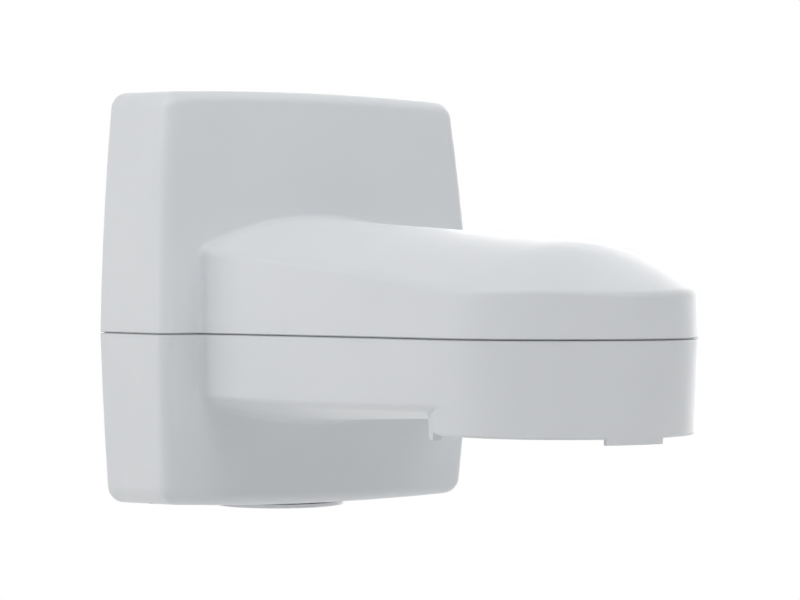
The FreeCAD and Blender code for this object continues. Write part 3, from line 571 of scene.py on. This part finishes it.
# %% Entry cap
CAP_LOW, CAP_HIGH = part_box("conduit_cap")
CAP_CENTRE = (CAP_LOW + CAP_HIGH) / 2.0
CAP_FLANGE = 32.1
CAP_FLANGE_THICKNESS = 1.9
CAP_BODY = 24.93
CAP_WALL = 3.0
CAP_FLOOR = 3.4
CAP_ROUNDING = 0.45
CAP_SLOT = (39.8, 3.0, 1.0)
CAP_THREAD_DEPTH = 0.9
CAP_THREAD_PITCH = 1.5
CAP_THREAD_LOW = 3.0
CAP_THREAD_TURNS = 4


def entry_cap():
    foot = CAP_LOW[2] / MM
    top = CAP_HIGH[2] / MM
    shoulder = foot + CAP_FLANGE_THICKNESS
    core = CAP_BODY - CAP_THREAD_DEPTH
    bore = CAP_BODY - CAP_WALL
    outline = [(0.0, foot), (CAP_FLANGE, foot), (CAP_FLANGE, shoulder), (core, shoulder)]
    outline += [(core, top), (bore, top), (bore, foot + CAP_FLOOR), (0.0, foot + CAP_FLOOR)]
    cap = turned(outline, steps=96, rounding=CAP_ROUNDING)
    bpy.ops.object.select_all(action="DESELECT")
    bpy.ops.mesh.primitive_cube_add(size=1.0, location=(0.0, 0.0, foot * MM))
    cutter = bpy.context.object
    cutter.scale = Vector((CAP_SLOT[0], CAP_SLOT[1], CAP_SLOT[2] * 2.0)) * MM
    cut_with(cap, settle(cutter, "cutter"))
    thread = ridge(CAP_BODY, CAP_THREAD_DEPTH, CAP_THREAD_PITCH, foot + CAP_THREAD_LOW,
                   CAP_THREAD_TURNS, steps=72)
    cap = join([cap, thread], "entry_cap")
    cap.location = (CAP_CENTRE.x, CAP_CENTRE.y, 0.0)
    return settle(cap, "entry_cap")


cap = entry_cap()
smooth(cap)
give(cap, cap_plastic, "conduit_cap")

# %% [markdown]
# ## The rear grommet
# Cables that come out of the wall pass through a soft grommet behind the box. Its rim grips the edge
# of the hole from both sides, and a thin domed membrane closes it until it is pierced. Rubber has no
# sharp edge, so the outline is rounded more than that of a turned screw.

# %% Rear grommet
GROMMET_OUTLINE = [
    (0.0, 1.5), (16.0, 1.5), (16.0, 0.0), (22.95, 0.0), (22.95, 1.5), (19.95, 1.5), (19.95, 4.0),
    (22.95, 4.0), (22.95, 5.5), (16.0, 5.5), (8.0, 4.2), (8.0, 2.7), (0.0, 2.7),
]
GROMMET_ROUNDING = 0.3


def grommet():
    low, high = solids("rear_grommet")[0]
    place = Vector(((low + high).x / 2.0, 0.0, (low + high).z / 2.0))
    piece = turned(GROMMET_OUTLINE, steps=72, rounding=GROMMET_ROUNDING)
    piece.matrix_world = Matrix.Translation(place) @ facing((0, -1, 0))
    return settle(piece, "wall_grommet")


wall_grommet = grommet()
smooth(wall_grommet)
give(wall_grommet, rubber, "rear_grommet")

# %% [markdown]
# ## The screws
# All the screws are of one family: a turned head with a hexagon socket, a threaded shank and a blunt
# point. One function makes any of them upright, with its head on top, and a second one sets a made
# screw into each solid of a node. Screws of one length share one model, and each gets its own copy of
# the mesh. The thread's core is a little thinner than the shank, and its last turn ends below the
# head.

# %% Screws
THREAD_SHARE = 0.16
THREAD_PLAY = 0.02
THREAD_STEPS = 20
POINT_SHARE = 0.6
POINT_HEIGHT_SHARE = 0.5
THREAD_END = 0.4
THREAD_FADE = 0.2
SOCKET_SHARE = 0.6
SOCKET_ABOVE = 1.0
SCREW_ROUNDING = 0.18


def shank_thread(shank, pitch, low, room):
    """A thread on a shank, from a height upward, with as many turns as the room takes."""
    turns = int(room / pitch) - 1
    return ridge(shank - THREAD_PLAY, shank * THREAD_SHARE, pitch, low, turns, THREAD_STEPS)


def screw(shank, length, head, head_height, across, pitch):
    """A socket screw, head up, with its lowest point at the origin. Measures are in millimetres."""
    core = shank * (1.0 - THREAD_SHARE)
    point = core * POINT_HEIGHT_SHARE
    neck = length - head_height
    outline = [(0.0, 0.0), (core * POINT_SHARE, 0.0), (core, point), (core, neck - THREAD_END)]
    outline += [(shank, neck - THREAD_FADE), (shank, neck), (head, neck), (head, length)]
    outline += [(0.0, length)]
    piece = turned(outline, steps=32, rounding=SCREW_ROUNDING)
    socket_floor = length - head_height * SOCKET_SHARE
    cut_with(piece, hex_cutter(across, socket_floor, length + SOCKET_ABOVE))
    room = neck - point - THREAD_END - THREAD_FADE
    return join([piece, shank_thread(shank, pitch, point, room)], "screw")


def set_screws(node, name, direction, **measures):
    """One screw in each solid of a node, with its head in the given direction."""
    axis = max(range(3), key=lambda i: abs(direction[i]))
    made = {}
    copies = []
    for low, high in solids(node):
        length = round((high[axis] - low[axis]) / MM, 2)
        if length not in made:
            made[length] = screw(length=length, **measures)
        foot = (low + high) / 2.0
        foot[axis] = low[axis] if direction[axis] > 0 else high[axis]
        copy = made[length].copy()
        copy.data = made[length].data.copy()
        copy.data.transform(Matrix.Translation(foot) @ facing(direction))
        bpy.context.scene.collection.objects.link(copy)
        copies.append(copy)
    for master in made.values():
        bpy.data.objects.remove(master)
    return join(copies, name)


SCREW_SETS = [
    ("cover_screws", "box_screws", (0, 0, -1), turned_steel, "steel",
     dict(shank=2.0, head=3.8, head_height=3.0, across=3.0, pitch=0.7)),
    ("camera_plate_screws", "plate_screws", (0, 0, -1), turned_steel, "steel",
     dict(shank=1.5, head=2.8, head_height=1.8, across=2.0, pitch=0.5)),
    ("cable_clamp_screws", "clamp_screws", (0, -1, 0), turned_steel, "steel",
     dict(shank=1.5, head=2.8, head_height=2.0, across=2.0, pitch=0.5)),
    ("earth_screw", "earth_terminal", (0, -1, 0), brass, "brass",
     dict(shank=2.5, head=4.6, head_height=3.2, across=4.0, pitch=0.8)),
]
for node, name, direction, material, slot, measures in SCREW_SETS:
    piece = set_screws(node, name, direction, **measures)
    smooth(piece)
    give(piece, material, node)

# %% [markdown]
# ## The safety eye
# The camera hangs on a short line while it is wired, and the line's hook goes into this eye. It is
# bent from wire and welded to a collar, so the ring is a torus and not a flat washer, and its shank
# is threaded for the nut above.

# %% Safety eye
EYE_RING = 4.6
EYE_WIRE = 1.38
EYE_BAND_HALF = 1.4
EYE_COLLAR = 3.4
EYE_COLLAR_HEIGHT = 1.4
EYE_SHANK = 2.0
EYE_PITCH = 0.7
EYE_POINT_HEIGHT = 0.8
EYE_THREAD_GAP = 0.6
EYE_THREAD_ENDS = 1.6
EYE_ROUNDING = 0.2


def safety_eye():
    low, high = solids("safety_eye")[0]
    length = (high.z - low.z) / MM
    middle = EYE_RING + EYE_BAND_HALF
    collar = 2.0 * middle
    core = EYE_SHANK * (1.0 - THREAD_SHARE)
    seat = collar - EYE_COLLAR_HEIGHT
    outline = [(0.0, seat), (EYE_COLLAR, seat), (EYE_COLLAR, collar), (EYE_SHANK, collar)]
    outline += [(core, collar + THREAD_END), (core, length - EYE_POINT_HEIGHT)]
    outline += [(core * POINT_SHARE, length), (0.0, length)]
    body = turned(outline, steps=36, rounding=EYE_ROUNDING)
    room = length - collar - EYE_THREAD_ENDS
    thread = shank_thread(EYE_SHANK, EYE_PITCH, collar + EYE_THREAD_GAP, room)
    bpy.ops.object.select_all(action="DESELECT")
    bpy.ops.mesh.primitive_torus_add(major_radius=EYE_RING * MM, minor_radius=EYE_WIRE * MM,
                                     major_segments=56, minor_segments=18,
                                     location=(0.0, 0.0, middle * MM),
                                     rotation=(math.pi / 2.0, 0.0, 0.0))
    ring = settle(bpy.context.object, "ring")
    eye = join([body, thread, ring], "line_eye")
    eye.location = ((low.x + high.x) / 2.0, (low.y + high.y) / 2.0, low.z)
    return settle(eye, "line_eye")


eye = safety_eye()
smooth(eye)
give(eye, turned_steel, "safety_eye")

# %% [markdown]
# ## Softened copies
# Washers, the nut, the clamp and the camera plate have the right shape in the frame, but every edge
# there is as sharp as a line. A stamped or moulded edge is slightly round and catches a thin
# highlight. So these nodes are copied and merged, and a Bevel modifier rounds what is sharp. The last
# number of each row is the width of that rounding in millimetres.

# %% Softened copies
SOFTENED = [
    ("camera_plate", "ring_plate", rolled_steel, "steel", 0.25),
    ("cover_screw_washers", "box_washers", turned_steel, "steel", 0.15),
    ("cover_screw_retainers", "screw_retainers", nylon, "plastic", 0.12),
    ("safety_eye_nut", "eye_nut", turned_steel, "steel", 0.3),
    ("camera_lock_screw", "set_screw", turned_steel, "steel", 0.2),
    ("cable_clamp", "cable_saddle", nylon, "plastic", 0.4),
    ("earth_washer", "earth_ring", turned_steel, "steel", 0.15),
    ("camera_gasket", "plate_gasket", rubber, "rubber", 0.3),
]
for node, name, material, slot, width in SOFTENED:
    piece = casting(node, name)
    bevel(piece, width)
    smooth(piece)
    give(piece, material, node)

# %% [markdown]
# ## Finishes on the rest of the frame
# The seals keep their shapes from the frame, because rubber in a groove takes the groove's shape.
# They only get their finish.

# %% Finishes on nodes
for name in ("seam_seal", "plate_seal", "conduit_cap_seal", "wall_gasket"):
    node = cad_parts[name]
    node.data.materials.clear()
    node.data.materials.append(rubber)
    print(name, "is given", rubber.name)

# %% [markdown]
# ## Backdrop
# The object stands in a white studio. The world itself gives no light: it is white only to camera,
# mirror and glass rays, which need a backdrop, and it is dark to all the rays that carry light.

# %% World
BACKDROP_RAYS = ("Is Camera Ray", "Is Glossy Ray", "Is Transmission Ray")
WHITE = (1.0, 1.0, 1.0, 1.0)


def studio_world():
    """White to the rays that look for a backdrop, and dark to all others."""
    world = bpy.data.worlds.new("studio")
    bpy.context.scene.world = world
    world.use_nodes = True
    tree = world.node_tree
    white = tree.nodes["Background"]
    white.inputs["Color"].default_value = WHITE
    path = tree.nodes.new("ShaderNodeLightPath")
    seen = path.outputs[BACKDROP_RAYS[0]]
    for ray in BACKDROP_RAYS[1:]:
        either = tree.nodes.new("ShaderNodeMath")
        either.operation = "MAXIMUM"
        tree.links.new(seen, either.inputs[0])
        tree.links.new(path.outputs[ray], either.inputs[1])
        seen = either.outputs[0]
    tree.links.new(seen, white.inputs["Strength"])
    return world


world = studio_world()
print("world:", world.name, "nodes:", len(world.node_tree.nodes))

# %% [markdown]
# ## Floor
# The floor is pale and lies below the bracket. The rays that look for a backdrop see it as plain
# white, so no horizon shows. All other rays see a real surface, which throws light back up at the
# underside of the arm.

# %% Floor
FLOOR_DROP = 0.22
FLOOR_SIZE = 8.0
FLOOR_TONE = (0.86, 0.86, 0.86, 1.0)
FLOOR_ROUGHNESS = 0.9


def floor_finish():
    finish = Finish("floor_white", Base_Color=FLOOR_TONE, Roughness=FLOOR_ROUGHNESS)
    path = finish.tree.nodes.new("ShaderNodeLightPath")
    camera_ray, glossy_ray, clear_ray = (Value(finish, path.outputs[ray]) for ray in BACKDROP_RAYS)
    seen = finish.math("MAXIMUM", camera_ray, finish.math("MAXIMUM", glossy_ray, clear_ray))
    white = finish.node("Emission", sockets={"Color": WHITE, "Strength": 1.0}, out="Emission")
    surface = Value(finish, finish.shader.outputs[0])
    mix = finish.node("MixShader", sockets={"Fac": seen, 1: surface, 2: white})
    finish.feed(finish.tree.nodes["Material Output"].inputs["Surface"], mix)
    return finish.material


floor_level = cad_box[0][2] - FLOOR_DROP
bpy.ops.mesh.primitive_plane_add(size=FLOOR_SIZE, location=(0.0, 0.0, floor_level))
floor = settle(bpy.context.object, "floor")
floor.data.materials.append(floor_finish())
print("floor at", round(floor_level, 4))

# %% [markdown]
# ## Lamps
# Six large soft lamps stand on a sphere round the object. They are strongest from above and from the
# rear right, so that each face of the box has a tone of its own and the ring's rim is edged with
# light. Each row gives the direction from the middle of the object, and the power in watts.

# %% Lamps
MIDDLE = Vector((0.0, -0.16, 0.0))
LAMP_DISTANCE = 2.0
LAMP_SIZE = 1.6
LAMPS = {
    "front_lamp": ((0.1, -1.0, 0.2), 6.0),
    "top_front_lamp": ((0.0, -0.6, 0.8), 14.5),
    "top_left_lamp": ((-0.7, 0.0, 0.7), 16.5),
    "top_right_lamp": ((0.7, 0.0, 0.7), 10.3),
    "left_rim_lamp": ((-0.8, 0.6, 0.2), 9.5),
    "right_rim_lamp": ((0.8, 0.6, 0.2), 23.6),
}


def soft_lamp(name, direction, watts):
    """A square area lamp in a direction from the middle of the object, turned to that middle."""
    place = MIDDLE + Vector(direction).normalized() * LAMP_DISTANCE
    bpy.ops.object.light_add(type="AREA", location=place)
    lamp = bpy.context.object
    lamp.name = name
    lamp.data.size = LAMP_SIZE
    lamp.data.energy = watts
    lamp.rotation_euler = (MIDDLE - place).to_track_quat("-Z", "Y").to_euler()
    print(name, "watts:", watts)


for name, (direction, watts) in LAMPS.items():
    soft_lamp(name, direction, watts)

# %% [markdown]
# ## Last steps
# The view transform is plain, so that a colour renders about as it is written.

# %% Finish
bpy.context.scene.view_settings.view_transform = "Standard"
